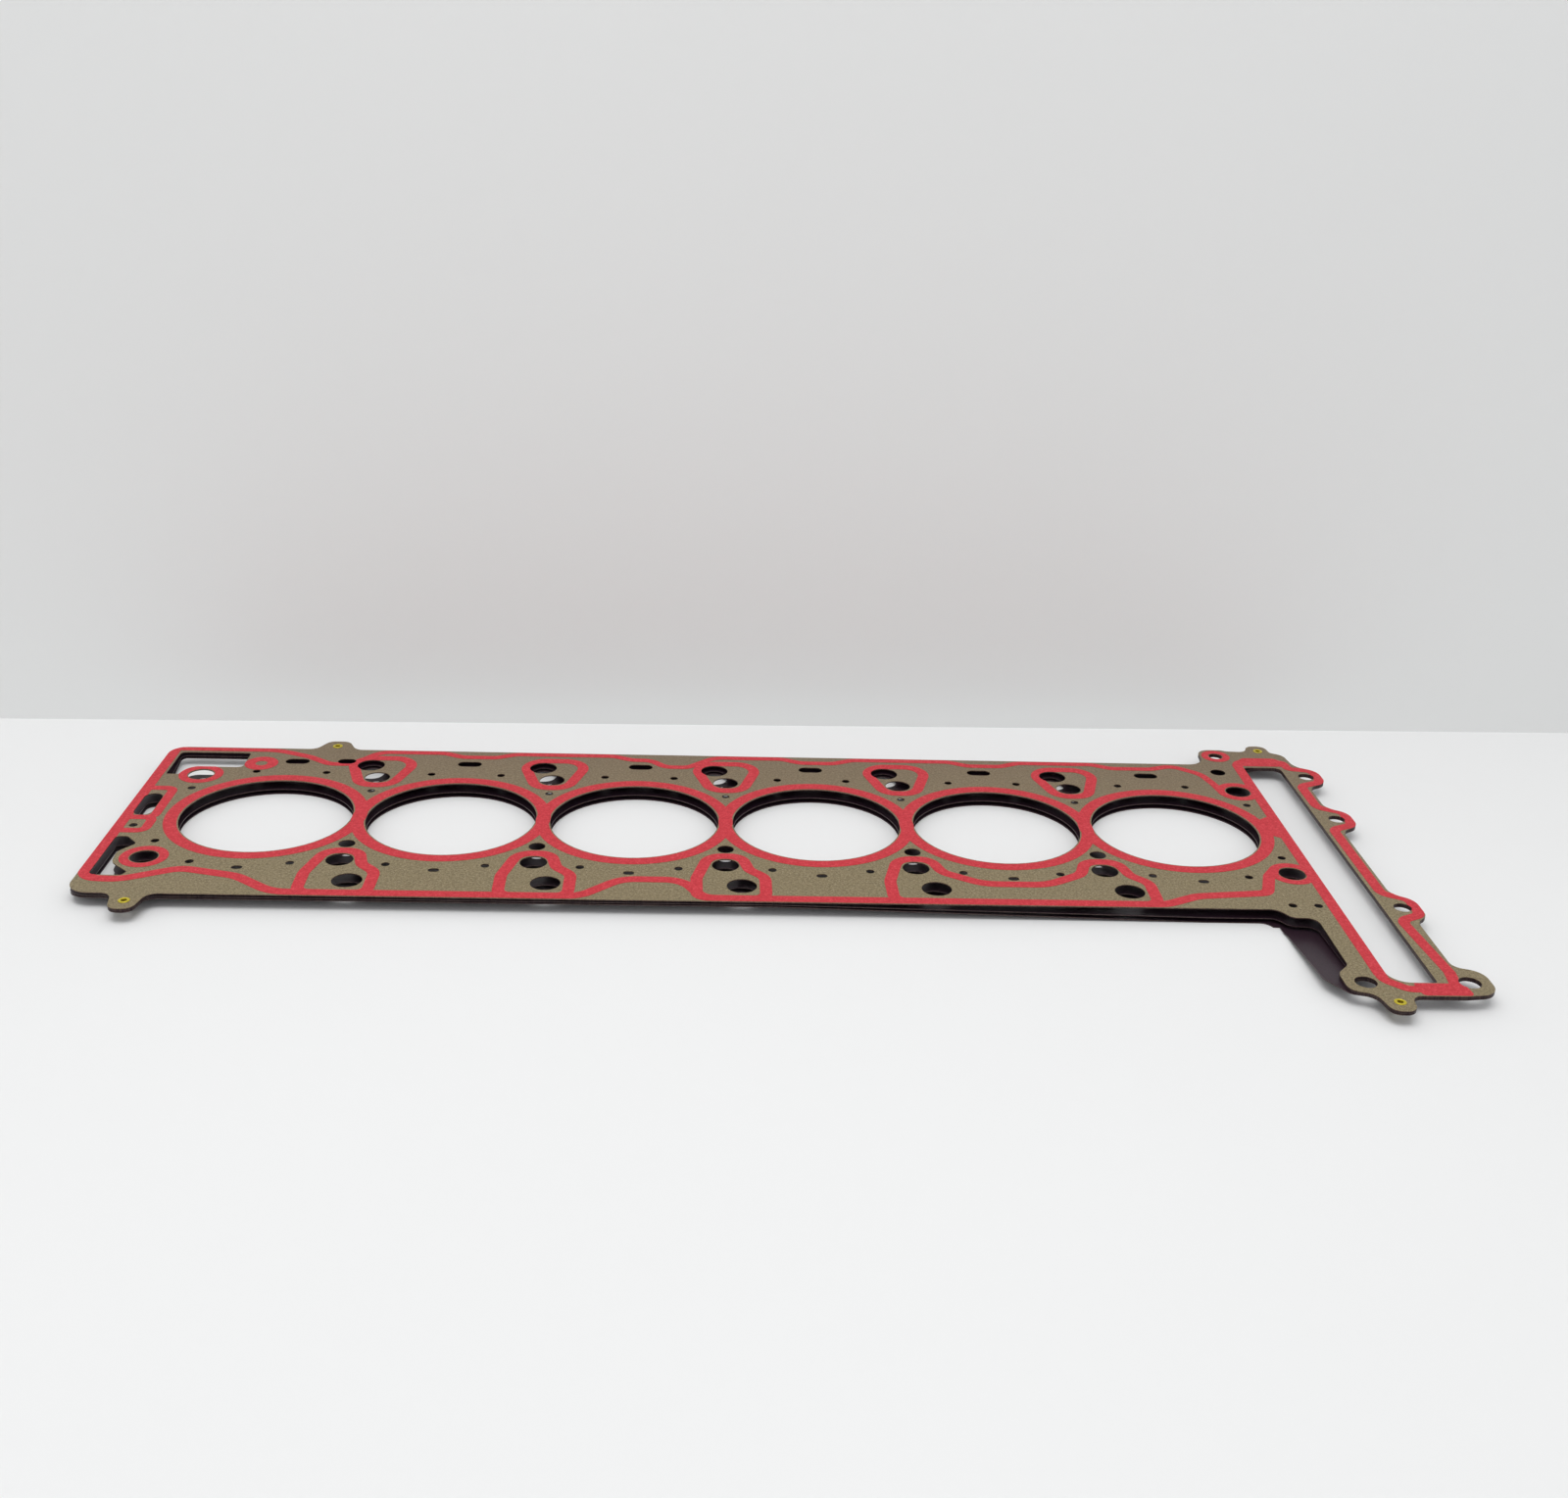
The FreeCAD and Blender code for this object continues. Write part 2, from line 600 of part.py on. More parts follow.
def back_line(side, top):
    """Band along the back edge: it bows inwards at each slot and touches two of the loops."""
    low = top - 5.0
    corners = [
        (side, top, 0.0),
        (bolt_x(0) + 32.0, top, 30.0),
        (bolt_x(0) + 50.0, top - 8.0, 20.0),
        (bolt_x(0) + 62.0, top - 17.0, 10.0),
        (bolt_x(0) + 74.0, top - 17.0, 8.0),
        (bolt_x(0) + 86.0, top, 12.0),
    ]
    for number in range(1, count - 1):
        x = bolt_x(number)
        corners += [(x + 30.0, top, 12.0), (x + 40.0, low, 12.0)]
        if number == 2:
            corners += [(x + 50.0, low, 10.0), (x + 58.0, low - 8.5, 8.0)]
            corners += [(x + 70.0, low - 8.5, 8.0), (x + 84.0, top, 12.0)]
        else:
            corners += [(x + 58.0, low, 12.0), (x + 68.0, top, 12.0)]
    corners += [
        (bolt_x(5) + 18.0, top, 12.0),
        (bolt_x(5) + 28.0, low, 12.0),
        (bolt_x(6) - 40.0, low, 12.0),
        (bolt_x(6) - 28.0, top, 10.0),
        (bolt_x(6) - 14.0, low - 6.0, 14.0),
        (bolt_x(6) - 10.5, row_y + 9.0, 8.0),
        (bolt_x(6) - 9.2, row_y + 1.0, 3.0),
    ]
    return corners


def chain_band():
    """Band round the chain opening: beside it on the left, and outside the screw holes on the strip."""
    near, far = chain_left - 2.6, chain_right + 4.4
    corners = [(near, chain_back + 8.0, 6.0), (far - 1.0, chain_back + 8.0, 7.0)]
    corners.append((far, chain_back - 1.0, 3.0))
    for number, (x, y) in enumerate(case_holes):
        corners += [(x + 5.8, y + 8.0, 5.5), (x + 5.8, y - 7.0, 5.5), (far, y - 12.5, 6.0)]
        if number < 2:
            corners.append((far, case_holes[number + 1][1] + 14.0, 6.0))
    corners += [
        (far + 4.0, chain_front + 9.0, 5.0),
        (far + 2.0, chain_front - 5.5, 3.0),
        (near + 8.0, chain_front - 5.5, 6.0),
        (near, chain_front + 2.0, 6.0),
    ]
    return stroke(corners, size["line_wide"] + 0.9, True)


def patches():
    """Wide fields of the bead round the chain opening and between it and the last bore."""
    side = [
        (chain_left - 5.5, chain_back + 4.0, 1.0),
        (chain_left, chain_back + 4.0, 1.0),
        (chain_left, chain_front + 2.0, 1.0),
        (chain_left - 5.5, chain_front + 6.0, 1.0),
    ]
    head = [
        (chain_left - 1.0, chain_back + 2.0, 1.0),
        (chain_right + 3.0, chain_back + 2.0, 1.0),
        (chain_right + 2.0, chain_back + 13.0, 4.0),
        (chain_left + 1.0, chain_back + 13.0, 4.0),
    ]
    foot = [
        (chain_left + 9.0, chain_front - 0.5, 1.0),
        (chain_right + 11.0, chain_front - 0.5, 1.0),
        (chain_right + 12.0, chain_front - 10.5, 2.0),
        (chain_left + 10.0, chain_front - 10.5, 2.0),
    ]
    web = [
        (chain_left - 12.0, -4.0, 1.0),
        (chain_left - 1.0, -11.0, 1.0),
        (chain_left - 1.0, 20.0, 1.0),
        (chain_left - 12.0, 12.0, 1.0),
    ]
    return [face_of(rounded(corners)) for corners in (side, head, foot, web)]


def bead_bands():
    """The printed bead's bands, each a flat face on the top sheet's plan."""
    wide, line = size["bead_wide"], size["line_wide"]
    side, foot, top = left + 2.6, front + 3.2, back - 2.8
    bands = []
    for number in range(count):
        inner = size["bore_dia"] / 2 + size["ring_lip"]
        bands.append(ring(-half_row + number * pitch, 0.0, inner, size["ring_wide"]))
    for x in (-end_bolt, end_bolt):
        for y in (-row_y, row_y):
            bands.append(ring(x, y, size["bolt_dia"] / 2 + 0.5, 4.2))
    bands.append(ring(-half_row - 18.0, row_y + 15.5, 3.1, 5.4))
    bands.append(ring(*dowel_hole, dowel_dia / 2 + 0.5, 3.6))
    for number in range(1, count):
        bands.append(back_loop(bolt_x(number)))
    for number in range(1, count - 2):
        bands.append(stroke(bell_left(bolt_x(number), foot) + bell_right(bolt_x(number), foot), wide, True))
    bands.append(stroke(double_bell(bolt_x(count - 2), foot), wide, True))
    bands.append(stroke(front_line(side, foot, top), wide))
    bands.append(stroke(back_line(side, top), line))
    inner = side + 13.5
    for low, high in ((-5.0, 30.0), (-20.0, -5.0)):
        frame = [(side, low, 4.0), (inner, low, 4.0), (inner, high, 4.0), (side, high, 4.0)]
        bands.append(stroke(frame, line + 0.4, True))
    bands.append(chain_band())
    return bands + patches()


def printed_bead(plan):
    """The bead, trimmed to the top sheet's own metal, without the specks that its holes cut off."""
    bands = [band.extrude(vec(0, 0, size["bead_high"])) for band in bead_bands()]
    printed = bands[0].multiFuse(bands[1:]).removeSplitter().common(plan.Shape)
    speck = size["bead_wide"] ** 2 * size["bead_high"]
    bead = doc.addObject("Part::Feature", "sealing_bead")
    bead.Shape = Part.makeCompound([piece for piece in printed.Solids if piece.Volume > speck])
    bead.Placement = FreeCAD.Placement(vec(0, 0, size["spread"] + size["top_thick"]), FreeCAD.Rotation())
    return bead


def eyelet(name, x, y):
    """A brass eyelet: a neck through the three sheets, with a rolled flange above and below."""
    lip = size["eyelet_lip"]
    low = bottom_seat - lip
    top = size["spread"] + size["top_thick"] + lip
    bore = ("Sizes.eyelet_bore / 2", size["eyelet_bore"] / 2)
    neck = ("Sizes.eyelet_dia / 2", size["eyelet_dia"] / 2)
    flange = ("Sizes.eyelet_flange / 2", size["eyelet_flange"] / 2)
    below = "(%s - Sizes.eyelet_lip)" % BOTTOM_SEAT
    above = "(Sizes.spread + Sizes.top_thick + Sizes.eyelet_lip)"
    points = [
        (bore, (below, low)),
        (flange, (below, low)),
        (flange, (BOTTOM_SEAT, low + lip)),
        (neck, (BOTTOM_SEAT, low + lip)),
        (neck, (above + " - Sizes.eyelet_lip", top - lip)),
        (flange, (above + " - Sizes.eyelet_lip", top - lip)),
        (flange, (above, top)),
        (bore, (above, top)),
    ]
    body = doc.addObject("PartDesign::Body", name)
    sketch = new_sketch(body, name + "_profile", "XZ_Plane")
    for i, (r, z) in enumerate(points):
        ahead = points[(i + 1) % len(points)]
        sketch.addGeometry(Part.LineSegment(vec(r[1], z[1]), vec(ahead[0][1], ahead[1][1])), False)
    for i, (r, z) in enumerate(points):
        sketch.addConstraint(Sketcher.Constraint("Coincident", i, 2, (i + 1) % len(points), 1))
        dimension(sketch, "r%d" % i, Sketcher.Constraint("DistanceX", -1, 1, i, 1, r[1]), r[0])
        dimension(sketch, "z%d" % i, Sketcher.Constraint("DistanceY", -1, 1, i, 1, z[1]), z[0])
    turned = body.newObject("PartDesign::Revolution", name + "_turned")
    turned.Profile = sketch
    turned.ReferenceAxis = (sketch, ["V_Axis"])
    turned.Angle = 360.0
    body.Tip = turned
    body.Placement = FreeCAD.Placement(vec(x, y, 0), FreeCAD.Rotation())
    return body


middle_seat = size["spread"] - size["seat_gap"] - size["middle_thick"]
bottom_seat = middle_seat - size["seat_gap"] - size["bottom_thick"]
BOTTOM_SEAT = "(Sizes.spread - 2 * Sizes.seat_gap - Sizes.middle_thick - Sizes.bottom_thick)"

top_sheet = plate("top_sheet", "Sizes.top_thick", False, True)
top_sheet.setExpression("Placement.Base.z", "Sizes.spread")
middle_sheet = bent_sheet("middle_sheet", size["middle_spread"], middle_seat, size["middle_thick"], False)
bottom_sheet = bent_sheet("bottom_sheet", 0.0, bottom_seat, size["bottom_thick"], True)
doc.recompute()
nodes = [top_sheet, middle_sheet, bottom_sheet, printed_bead(top_sheet.Tip)]
for name, (x, y) in eyelets.items():
    nodes.append(eyelet(name, x, y))
doc.recompute()

for item in doc.Objects:
    if "Invalid" in item.State or "Error" in item.State:
        raise RuntimeError("%s failed: %s" % (item.Name, item.State))
os.makedirs("parts", exist_ok=True)
for node in nodes:
    shape = node.Shape
    if shape.isNull() or not shape.isValid():
        raise RuntimeError("%s has no valid shape" % node.Name)
    print(node.Name, len(shape.Solids), "solids", len(shape.Faces), "faces", round(shape.Volume, 1), "mm3")
    shape.exportStep("parts/%s.step" % node.Name)
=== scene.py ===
import math

import bpy
import numpy as np
from mathutils import Euler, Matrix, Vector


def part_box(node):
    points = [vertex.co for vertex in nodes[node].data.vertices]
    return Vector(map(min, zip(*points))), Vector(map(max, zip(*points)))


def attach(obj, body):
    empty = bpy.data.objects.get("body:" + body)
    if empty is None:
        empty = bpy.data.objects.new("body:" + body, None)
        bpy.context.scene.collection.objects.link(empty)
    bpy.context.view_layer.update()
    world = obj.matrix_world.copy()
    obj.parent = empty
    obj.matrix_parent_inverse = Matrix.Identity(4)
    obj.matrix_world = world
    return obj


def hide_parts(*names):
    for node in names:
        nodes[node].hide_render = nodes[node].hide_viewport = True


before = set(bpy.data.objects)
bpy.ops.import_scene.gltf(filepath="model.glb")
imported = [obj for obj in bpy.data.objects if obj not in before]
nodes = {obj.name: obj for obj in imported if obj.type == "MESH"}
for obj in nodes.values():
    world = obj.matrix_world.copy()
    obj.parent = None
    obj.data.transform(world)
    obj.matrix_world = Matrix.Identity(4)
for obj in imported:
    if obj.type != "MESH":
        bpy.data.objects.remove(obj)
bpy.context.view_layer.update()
scene = bpy.context.scene
print("frame loaded:", sorted(nodes))

mm = 0.001

# A Mix node names its number and colour sockets alike, so they are found by place:
# factor, first, second, and the output.
mixPlaces = {"FLOAT": (0, 2, 3, 0), "RGBA": (0, 6, 7, 2)}


def newMaterial(name):
    mat = bpy.data.materials.new(name)
    mat.use_nodes = True
    return mat, mat.node_tree, mat.node_tree.nodes["Principled BSDF"]


def rgba(colour):
    return (*colour, 1.0)


# A setting is the value of the input with that name, or else a property of the node.
def addNode(tree, kind, **settings):
    node = tree.nodes.new(kind)
    for key, value in settings.items():
        if key in node.inputs:
            node.inputs[key].default_value = value
        else:
            setattr(node, key, value)
    return node


# Links a socket to an input, or sets a plain value there.
def feed(tree, given, target):
    if isinstance(given, bpy.types.NodeSocket):
        tree.links.new(given, target)
    else:
        target.default_value = given


def addMath(tree, operation, *given):
    node = addNode(tree, "ShaderNodeMath", operation=operation)
    for place, value in enumerate(given):
        feed(tree, value, node.inputs[place])
    return node.outputs[0]


# Takes a number from the range start..end to the range low..high, and holds it there.
def addRamp(tree, given, start=0.0, end=1.0, low=0.0, high=1.0):
    node = addNode(tree, "ShaderNodeMapRange")
    for place, value in enumerate((given, start, end, low, high)):
        feed(tree, value, node.inputs[place])
    return node.outputs[0]


def addMix(tree, kind, mask, first, second):
    factorPlace, firstPlace, secondPlace, outPlace = mixPlaces[kind]
    node = addNode(tree, "ShaderNodeMix", data_type=kind)
    feed(tree, mask, node.inputs[factorPlace])
    feed(tree, first, node.inputs[firstPlace])
    feed(tree, second, node.inputs[secondPlace])
    return node.outputs[outPlace]


def addBump(tree, shader, height, values):
    bump = addNode(
        tree, "ShaderNodeBump", Strength=values["bumpStrength"], Distance=values["bumpDepth"]
    )
    tree.links.new(height, bump.inputs["Height"])
    tree.links.new(bump.outputs[0], shader.inputs["Normal"])


def makeGroup(name, inputs, outputs):
    group = bpy.data.node_groups.new(name, "ShaderNodeTree")
    for label, kind in inputs:
        group.interface.new_socket(label, in_out="INPUT", socket_type=kind)
    for label, kind in outputs:
        group.interface.new_socket(label, in_out="OUTPUT", socket_type=kind)
    return group, group.nodes.new("NodeGroupInput"), group.nodes.new("NodeGroupOutput")


def useGroup(tree, group, **values):
    node = tree.nodes.new("ShaderNodeGroup")
    node.node_tree = group
    for label, value in values.items():
        node.inputs[label].default_value = value
    return node


speckleShape = {
    "fineDetail": 2.0,
    "fineRoughness": 0.6,
    "broadDetail": 3.0,
    "broadRoughness": 0.55,
    "broadShare": 0.42,
    "darkFrom": 0.50,
    "darkTo": 0.34,
    "lightFrom": 0.52,
    "lightTo": 0.68,
}


# Fine speckle of a sprayed or printed coat. Two noises in object space, one near half a
# millimetre and one near a whole one, pull the colour towards a darker and a lighter one.
# Height is the fine noise again.
def makeSpeckle(values):
    group, given, result = makeGroup(
        "speckle",
        [
            ("Colour", "NodeSocketColor"),
            ("Dark", "NodeSocketColor"),
            ("Light", "NodeSocketColor"),
            ("Amount", "NodeSocketFloat"),
            ("FineScale", "NodeSocketFloat"),
            ("BroadScale", "NodeSocketFloat"),
        ],
        [("Colour", "NodeSocketColor"), ("Height", "NodeSocketFloat")],
    )
    link = group.links.new
    place = addNode(group, "ShaderNodeTexCoord")
    fine = addNode(
        group, "ShaderNodeTexNoise",
        Detail=values["fineDetail"], Roughness=values["fineRoughness"],
    )
    broad = addNode(
        group, "ShaderNodeTexNoise",
        Detail=values["broadDetail"], Roughness=values["broadRoughness"],
    )
    for noise, scale in ((fine, "FineScale"), (broad, "BroadScale")):
        link(place.outputs["Object"], noise.inputs["Vector"])
        link(given.outputs[scale], noise.inputs["Scale"])
    both = addMix(
        group, "FLOAT", values["broadShare"], fine.outputs["Fac"], broad.outputs["Fac"]
    )
    low = addRamp(group, both, values["darkFrom"], values["darkTo"])
    high = addRamp(group, both, values["lightFrom"], values["lightTo"])
    colour = given.outputs["Colour"]
    for spread, target in ((low, "Dark"), (high, "Light")):
        strength = addMath(group, "MULTIPLY", spread, given.outputs["Amount"])
        colour = addMix(group, "RGBA", strength, colour, given.outputs[target])
    link(colour, result.inputs["Colour"])
    link(fine.outputs["Fac"], result.inputs["Height"])
    return group


flatLimit = 0.5  # a face whose normal has less Z than this is a wall


# Which way a face of a sheet points: Wall is 1 on punched walls, Under is 1 on the underside.
def makeFacing():
    group, given, result = makeGroup(
        "sheetFacing", [], [("Wall", "NodeSocketFloat"), ("Under", "NodeSocketFloat")]
    )
    place = addNode(group, "ShaderNodeTexCoord")
    split = addNode(group, "ShaderNodeSeparateXYZ")
    group.links.new(place.outputs["Normal"], split.inputs[0])
    size = addMath(group, "ABSOLUTE", split.outputs["Z"])
    wall = addMath(group, "LESS_THAN", size, flatLimit)
    under = addMath(group, "LESS_THAN", split.outputs["Z"], -flatLimit)
    group.links.new(wall, result.inputs["Wall"])
    group.links.new(under, result.inputs["Under"])
    return group


shearShape = {
    "scale": 1500.0,
    "detail": 3.0,
    "stretch": (1.0, 1.0, 0.12),
    "dullTo": 0.35,
    "brightFrom": 0.65,
}


# Shear marks on a punched wall: noise stretched along Z, between the burnished and the torn
# part of the cut.
def makeShear(values):
    group, given, result = makeGroup(
        "shearMarks",
        [("Bright", "NodeSocketColor"), ("Dull", "NodeSocketColor")],
        [("Colour", "NodeSocketColor")],
    )
    link = group.links.new
    place = addNode(group, "ShaderNodeTexCoord")
    stretch = addNode(group, "ShaderNodeMapping", Scale=values["stretch"])
    noise = addNode(
        group, "ShaderNodeTexNoise", Scale=values["scale"], Detail=values["detail"]
    )
    link(place.outputs["Object"], stretch.inputs["Vector"])
    link(stretch.outputs[0], noise.inputs["Vector"])
    level = addRamp(group, noise.outputs["Fac"], values["dullTo"], values["brightFrom"])
    colour = addMix(group, "RGBA", level, given.outputs["Dull"], given.outputs["Bright"])
    link(colour, result.inputs["Colour"])
    return group


speckle = makeSpeckle(speckleShape)
facing = makeFacing()
shear = makeShear(shearShape)
print("shared effects made")


def useSpeckle(tree, values):
    return useGroup(
        tree, speckle,
        Colour=rgba(values["colour"]), Dark=rgba(values["dark"]), Light=rgba(values["light"]),
        Amount=values["amount"],
        FineScale=values["fineScale"], BroadScale=values["broadScale"],
    )


def useShear(tree, values):
    return useGroup(
        tree, shear, Bright=rgba(values["wallBright"]), Dull=rgba(values["wallDull"])
    )


tanCoat = {
    "colour": (0.217, 0.170, 0.089),
    "dark": (0.105, 0.078, 0.036),
    "light": (0.360, 0.300, 0.185),
    "amount": 1.0,
    "fineScale": 1700.0,
    "broadScale": 800.0,
    # painted sheen: the greyer, more purple tint mixed in towards the back edge
    "paintedSheen": (0.139, 0.082, 0.062),
    "paintedSheenFrom": -0.04,
    "paintedSheenTo": 0.08,
    "paintedSheenMost": 0.4,
    "wallBright": (0.115, 0.066, 0.050),
    "wallDull": (0.030, 0.014, 0.011),
    "under": (0.012, 0.006, 0.011),
    "roughness": 0.50,
    "specular": 0.32,
    "bumpStrength": 0.25,
    "bumpDepth": 0.04 * mm,
}


# Painted sheen: a slow ramp along Y tints the coat greyer and more purple towards the back edge,
# standing in for reflected light on the coat.
def makeTanCoat(values):
    mat, tree, shader = newMaterial("tanCoatedSteel")
    grain = useSpeckle(tree, values)
    sides = useGroup(tree, facing)
    cut = useShear(tree, values)
    place = addNode(tree, "ShaderNodeTexCoord")
    split = addNode(tree, "ShaderNodeSeparateXYZ")
    tree.links.new(place.outputs["Object"], split.inputs[0])
    # painted sheen: the tint grows along Y towards the back edge
    paintedSheen = addRamp(
        tree, split.outputs["Y"], values["paintedSheenFrom"], values["paintedSheenTo"], high=values["paintedSheenMost"]
    )
    face = addMix(tree, "RGBA", paintedSheen, grain.outputs["Colour"], rgba(values["paintedSheen"]))
    face = addMix(tree, "RGBA", sides.outputs["Under"], face, rgba(values["under"]))
    face = addMix(tree, "RGBA", sides.outputs["Wall"], face, cut.outputs["Colour"])
    tree.links.new(face, shader.inputs["Base Color"])
    shader.inputs["Roughness"].default_value = values["roughness"]
    shader.inputs["Specular IOR Level"].default_value = values["specular"]
    addBump(tree, shader, grain.outputs["Height"], values)
    return mat


blackCoat = {
    "colour": (0.0270, 0.0125, 0.0205),
    "dark": (0.0120, 0.0050, 0.0095),
    "light": (0.0480, 0.0280, 0.0400),
    "amount": 0.7,
    "fineScale": 2100.0,
    "broadScale": 800.0,
    "wallBright": (0.090, 0.062, 0.054),
    "wallDull": (0.026, 0.013, 0.018),
    "wallMetal": 0.15,
    "wallRoughness": 0.28,
    "roughness": 0.38,
    "specular": 0.22,
    "bumpStrength": 0.2,
    "bumpDepth": 0.03 * mm,
}


# The punched walls are bare steel, so they are glossier and partly metallic.
def makeBlackCoat(values):
    mat, tree, shader = newMaterial("blackCoatedSteel")
    grain = useSpeckle(tree, values)
    sides = useGroup(tree, facing)
    cut = useShear(tree, values)
    wall = sides.outputs["Wall"]
    face = addMix(tree, "RGBA", wall, grain.outputs["Colour"], cut.outputs["Colour"])
    metal = addRamp(tree, wall, high=values["wallMetal"])
    gloss = addRamp(tree, wall, low=values["roughness"], high=values["wallRoughness"])
    tree.links.new(face, shader.inputs["Base Color"])
    tree.links.new(metal, shader.inputs["Metallic"])
    tree.links.new(gloss, shader.inputs["Roughness"])
    shader.inputs["Specular IOR Level"].default_value = values["specular"]
    addBump(tree, shader, grain.outputs["Height"], values)
    return mat


redBead = {
    "colour": (0.556, 0.026, 0.040),
    "dark": (0.380, 0.012, 0.020),
    "light": (0.700, 0.090, 0.105),
    "amount": 0.8,
    "fineScale": 1500.0,
    "broadScale": 620.0,
    "roughness": 0.55,
    "specular": 0.25,
    "bumpStrength": 0.35,
    "bumpDepth": 0.05 * mm,
}


def makeRedBead(values):
    mat, tree, shader = newMaterial("redElastomer")
    grain = useSpeckle(tree, values)
    tree.links.new(grain.outputs["Colour"], shader.inputs["Base Color"])
    shader.inputs["Roughness"].default_value = values["roughness"]
    shader.inputs["Specular IOR Level"].default_value = values["specular"]
    addBump(tree, shader, grain.outputs["Height"], values)
    return mat


brass = {
    "colour": (0.640, 0.520, 0.022),
    "dark": (0.380, 0.280, 0.010),
    "light": (0.820, 0.740, 0.090),
    "amount": 0.6,
    "fineScale": 2600.0,
    "broadScale": 900.0,
    # painted shade: the darker, deeper yellow of the steep faces in the bore and round the rim
    "paintedBoreShade": (0.360, 0.255, 0.014),
    "metallic": 0.7,
    "roughness": 0.34,
    "bumpStrength": 0.3,
    "bumpDepth": 0.03 * mm,
}


# Painted shade: the steep faces, inside the bore and round the rim, take a darker, deeper yellow
# that stands in for the shade in the bore and at the rolled rim.
def makeBrass(values):
    mat, tree, shader = newMaterial("eyeletBrass")
    grain = useSpeckle(tree, values)
    sides = useGroup(tree, facing)
    # painted shade on the steep faces of the bore and rim
    face = addMix(
        tree, "RGBA", sides.outputs["Wall"], grain.outputs["Colour"], rgba(values["paintedBoreShade"])
    )
    tree.links.new(face, shader.inputs["Base Color"])
    shader.inputs["Metallic"].default_value = values["metallic"]
    shader.inputs["Roughness"].default_value = values["roughness"]
    addBump(tree, shader, grain.outputs["Height"], values)
    return mat


blackSteel = makeBlackCoat(blackCoat)
coats = {
    "top_sheet": makeTanCoat(tanCoat),
    "middle_sheet": blackSteel,
    "bottom_sheet": blackSteel,
    "sealing_bead": makeRedBead(redBead),
}
for name, coat in coats.items():
    for slot in nodes[name].material_slots:
        slot.material = coat
print("coats on", len(coats), "sheets and bead")

eyeletShape = {
    "names": ("eyelet_front_left", "eyelet_back_left", "eyelet_back_right", "eyelet_front_right"),
    "bore": 1.3 * mm,
    "neck": 1.5 * mm,
    "flange": 2.6 * mm,
    "lip": 0.3 * mm,
    "crown": 0.7,
    "around": 56,
    "along": 14,
}


# An eyelet is its wall's section carried round a vertical axis. Each rolled lip is half a
# flattened ellipse from the flange's rim over its crest to the bore, z = seat + lip *
# sin(t)^crown, and the neck closes the section.
def eyeletMesh(name, centre, lowSeat, highSeat, shape):
    turn = np.linspace(0.0, math.pi, shape["along"])
    middle = (shape["bore"] + shape["flange"]) / 2
    reach = (shape["flange"] - shape["bore"]) / 2 * np.cos(turn)
    rise = shape["lip"] * np.sin(turn) ** shape["crown"]
    upper = np.stack([middle + reach, highSeat + rise], 1)
    lower = np.stack([middle - reach, lowSeat - rise], 1)
    neckHeights = np.array([lowSeat, (lowSeat + highSeat) / 2, highSeat])
    neck = np.stack([np.full_like(neckHeights, shape["neck"]), neckHeights], 1)
    section = np.concatenate([upper, lower, neck])

    angle = np.linspace(0.0, 2 * math.pi, shape["around"], endpoint=False)
    radius, height = section[:, :1], section[:, 1:]
    x = centre[0] + radius * np.cos(angle)
    y = centre[1] + radius * np.sin(angle)
    z = np.broadcast_to(height, x.shape)
    points = np.stack([x, y, z], -1).reshape(-1, 3)

    rows, columns = x.shape
    i, j = np.meshgrid(np.arange(rows), np.arange(columns), indexing="ij")
    here, ahead = i * columns, (i + 1) % rows * columns
    beside = (j + 1) % columns
    quads = np.stack([here + j, here + beside, ahead + beside, ahead + j], -1).reshape(-1, 4)
    mesh = bpy.data.meshes.new(name)
    mesh.from_pydata(points.tolist(), [], quads.tolist())
    mesh.polygons.foreach_set("use_smooth", np.ones(len(mesh.polygons), bool))
    mesh.update()
    return mesh


def makeEyelets(shape, metal):
    lip = shape["lip"]
    for name in shape["names"]:
        low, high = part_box(name)
        centre = ((low.x + high.x) / 2, (low.y + high.y) / 2)
        mesh = eyeletMesh(name + "_rolled", centre, low.z + lip, high.z - lip, shape)
        mesh.materials.append(metal)
        piece = bpy.data.objects.new(name + "_rolled", mesh)
        scene.collection.objects.link(piece)
        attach(piece, "root")
        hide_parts(name)


makeEyelets(eyeletShape, makeBrass(brass))
print("eyelets rolled")

room = {
    "floor": (0.830, 0.828, 0.825),
    "wall": (0.79, 0.792, 0.785),
    "wallLeft": (-0.407, 0.138),
    "wallRight": (0.500, 0.160),
    "wallHeight": 2.4,
    "reach": 6.0,
    "roughness": 0.85,
    "specular": 0.1,
    "cloudScale": 2.2,
    "cloudDetail": 2.0,
    "cloudSpread": 0.015,
}


# Matt paint with a faint, slow cloud in its tone.
def makePaint(name, values):
    mat, tree, shader = newMaterial(name + "Paint")
    place = addNode(tree, "ShaderNodeTexCoord")
    cloud = addNode(
        tree, "ShaderNodeTexNoise", Scale=values["cloudScale"], Detail=values["cloudDetail"]
    )
    tree.links.new(place.outputs["Object"], cloud.inputs["Vector"])
    darker, lighter = 1.0 - values["cloudSpread"], 1.0 + values["cloudSpread"]
    tone = addMix(
        tree, "RGBA", cloud.outputs["Fac"],
        rgba([part * darker for part in values[name]]),
        rgba([part * lighter for part in values[name]]),
    )
    tree.links.new(tone, shader.inputs["Base Color"])
    shader.inputs["Roughness"].default_value = values["roughness"]
    shader.inputs["Specular IOR Level"].default_value = values["specular"]
    return mat


# Makes a surface clear from behind, and to lamps.
def clearBehind(mat):
    tree = mat.node_tree
    shader = tree.nodes["Principled BSDF"]
    output = tree.nodes["Material Output"]
    behind = addNode(tree, "ShaderNodeNewGeometry").outputs["Backfacing"]
    toLamp = addNode(tree, "ShaderNodeLightPath").outputs["Is Shadow Ray"]
    clear = addNode(tree, "ShaderNodeBsdfTransparent")
    choose = addNode(tree, "ShaderNodeMixShader")
    tree.links.new(addMath(tree, "MAXIMUM", behind, toLamp), choose.inputs[0])
    tree.links.new(shader.outputs[0], choose.inputs[1])
    tree.links.new(clear.outputs[0], choose.inputs[2])
    tree.links.new(choose.outputs[0], output.inputs["Surface"])


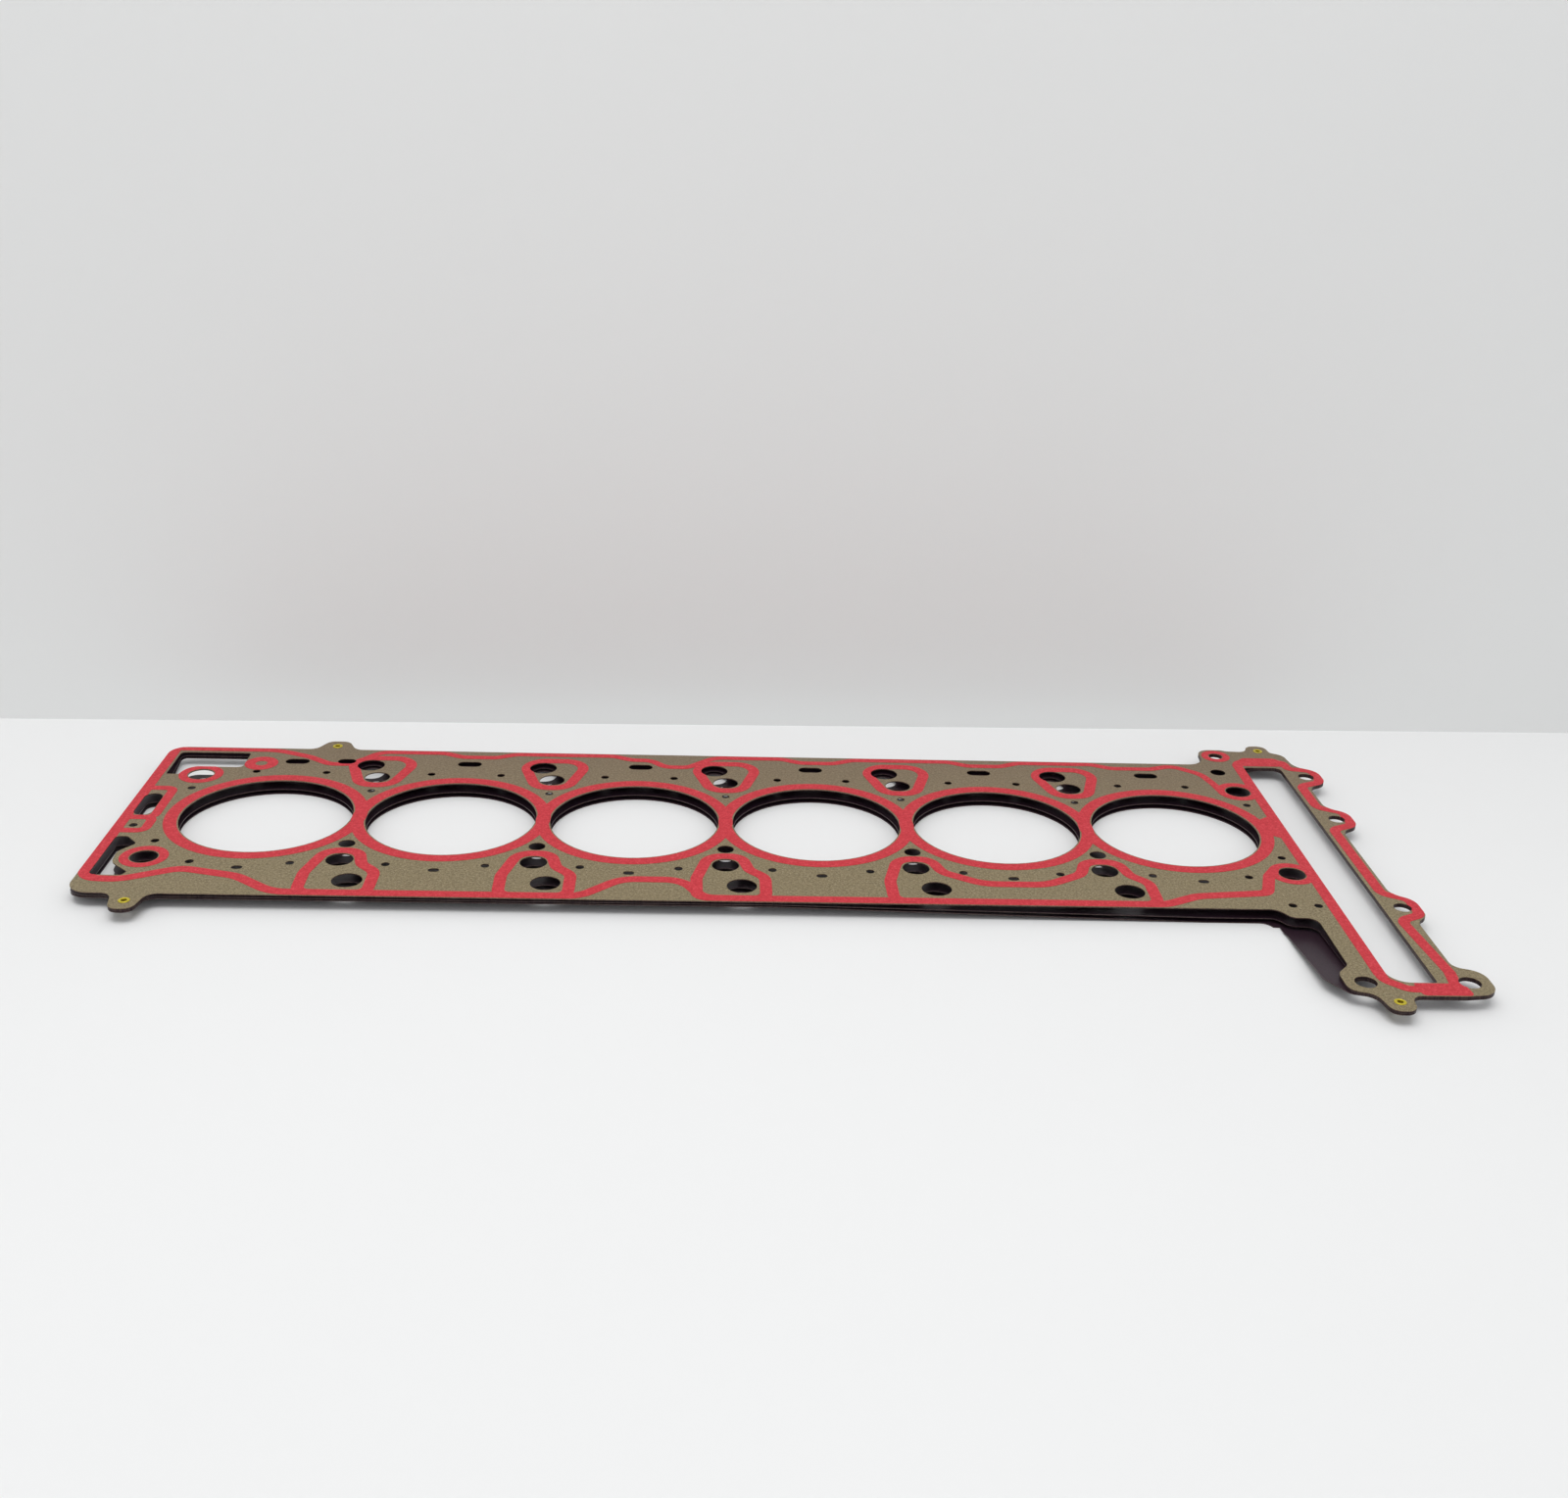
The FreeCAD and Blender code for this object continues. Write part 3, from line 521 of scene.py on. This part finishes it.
# The wall stands on a line through wallLeft and wallRight. The floor goes on past it, and
# shows through it in views from the back.
def makeRoom(values):
    start, end = np.array(values["wallLeft"]), np.array(values["wallRight"])
    middle = (start + end) / 2
    along = (end - start) / np.linalg.norm(end - start) * values["reach"]
    away = np.array([along[1], -along[0]])
    left, right, height = middle - along, middle + along, values["wallHeight"]
    corners = {
        "floor": [(left - away, 0), (left + away, 0), (right + away, 0), (right - away, 0)],
        "wall": [(left, 0), (right, 0), (right, height), (left, height)],
    }
    for name, points in corners.items():
        mesh = bpy.data.meshes.new(name)
        mesh.from_pydata([(float(x), float(y), z) for (x, y), z in points], [], [(0, 1, 2, 3)])
        mesh.update()
        mesh.materials.append(makePaint(name, values))
        stage = bpy.data.objects.new(name, mesh)
        scene.collection.objects.link(stage)
        if name == "wall":
            clearBehind(mesh.materials[0])


makeRoom(room)

light = {
    "sky": (0.97, 0.985, 1.0),
    "skyStrength": 0.74,
    "boxPlace": (-0.12, -0.40, 1.6),
    "boxAim": (0.0, 0.0, 0.0),
    "boxWide": 1.3,
    "boxDeep": 0.9,
    "boxPower": 10.5,
}


def makeLight(values):
    world = bpy.data.worlds.new("studio")
    scene.world = world
    world.use_nodes = True
    sky = world.node_tree.nodes["Background"]
    sky.inputs["Color"].default_value = rgba(values["sky"])
    sky.inputs["Strength"].default_value = values["skyStrength"]
    lamp = bpy.data.lights.new("softbox", "AREA")
    lamp.shape = "RECTANGLE"
    lamp.size = values["boxWide"]
    lamp.size_y = values["boxDeep"]
    lamp.energy = values["boxPower"]
    holder = bpy.data.objects.new("softbox", lamp)
    scene.collection.objects.link(holder)
    x, y, z = np.array(values["boxAim"]) - np.array(values["boxPlace"])
    holder.location = values["boxPlace"]
    holder.rotation_euler = (math.atan2(math.hypot(x, y), -z), 0.0, math.atan2(-x, y))


makeLight(light)

view = {
    "place": (-0.006394, -0.786662, 0.374919),
    "turn": (67.3992, -1.8233, -1.7234),  # degrees
    "lens": 40.1469,
    "sensor": 36.0,
    "nearest": 0.01,
}


def makeCamera(values):
    camera = bpy.data.cameras.new("camera")
    camera.lens = values["lens"]
    camera.sensor_width = values["sensor"]
    camera.sensor_fit = "HORIZONTAL"
    camera.clip_start = values["nearest"]
    holder = bpy.data.objects.new("camera", camera)
    holder.location = values["place"]
    holder.rotation_euler = Euler([math.radians(angle) for angle in values["turn"]], "XYZ")
    scene.collection.objects.link(holder)
    scene.camera = holder


makeCamera(view)
scene.view_settings.view_transform = "Standard"
print("room, light and camera set")

bpy.context.view_layer.update()
